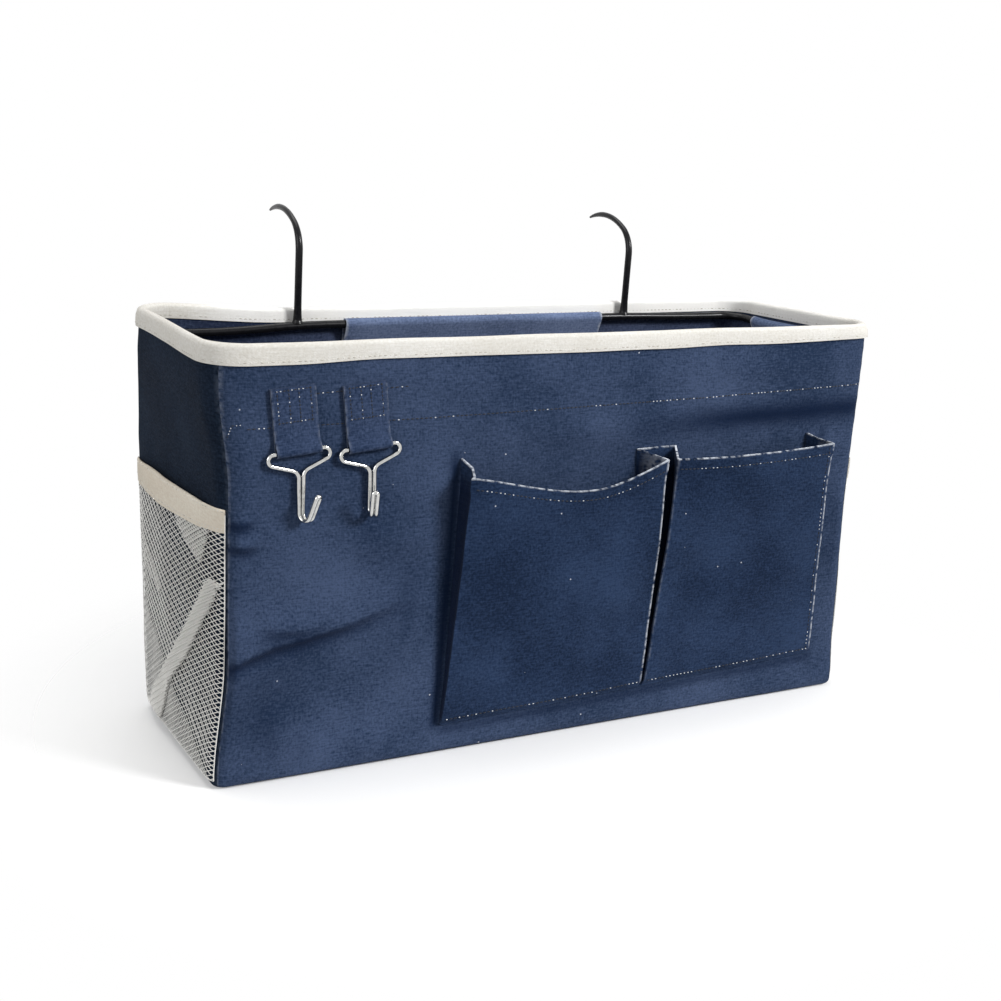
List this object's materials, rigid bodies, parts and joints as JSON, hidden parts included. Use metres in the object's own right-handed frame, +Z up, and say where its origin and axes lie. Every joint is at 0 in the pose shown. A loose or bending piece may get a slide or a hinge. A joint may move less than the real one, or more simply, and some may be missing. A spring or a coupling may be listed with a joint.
{
  "type": "bedside caddy",
  "caption": "Sewn canvas bedside organizer with a wire-framed mouth, bed-rail hooks, pleated front pockets, net side pockets and small swinging utility hooks.",
  "frame": {"origin": "centre of the base's underside", "axes": "+X to the right as seen from the front, -Y out of the front with the two pleated pockets, +Z up; the hanging hooks reach back over the rear wall towards +Y"},
  "size_m": [0.4622, 0.2013, 0.3067],
  "materials": {
    "navy_canvas": "woven canvas",
    "pocket_canvas": "woven canvas",
    "lining": "woven cloth",
    "board": "plain",
    "cream_tape": "woven tape",
    "beige_tape": "woven tape",
    "net": "knitted net",
    "black_wire": "gloss black",
    "nickel_wire": "nickel plated"
  },
  "bodies": {
    "caddy": {"front_panel": "navy_canvas", "back_panel": "navy_canvas", "left_side_panel": "navy_canvas", "right_side_panel": "navy_canvas", "base_panel": "navy_canvas", "front_board": "board", "back_board": "board", "left_board": "board", "right_board": "board", "base_board": "board", "front_lining": "lining", "back_lining": "lining", "left_lining": "lining", "right_lining": "lining", "base_lining": "lining", "rim_binding": "cream_tape", "hanger_frame": "black_wire", "left_hanging_hook": "black_wire", "right_hanging_hook": "black_wire", "rear_sleeve": "lining", "front_sleeve": "lining", "left_sleeve": "lining", "right_sleeve": "lining", "left_net": "net", "right_net": "net", "left_net_binding": "beige_tape", "right_net_binding": "beige_tape", "front_pockets": "pocket_canvas", "left_hook_tab": "navy_canvas", "right_hook_tab": "navy_canvas"},
    "left_key_hook": {"left_utility_hook": "nickel_wire"},
    "right_key_hook": {"right_utility_hook": "nickel_wire"}
  },
  "joints": [
    {"name": "left_hook_swing", "type": "hinge", "parent": "caddy", "child": "left_key_hook", "pos_m": [-0.1685, -0.07218, 0.1885], "axis": [-0.9962, -0.0008, -0.0872], "range_deg": [0, 140]},
    {"name": "right_hook_swing", "type": "hinge", "parent": "caddy", "child": "right_key_hook", "pos_m": [-0.128, -0.07276, 0.1885], "axis": [-0.9962, -0.0016, -0.0871], "range_deg": [0, 140]}
  ]
}
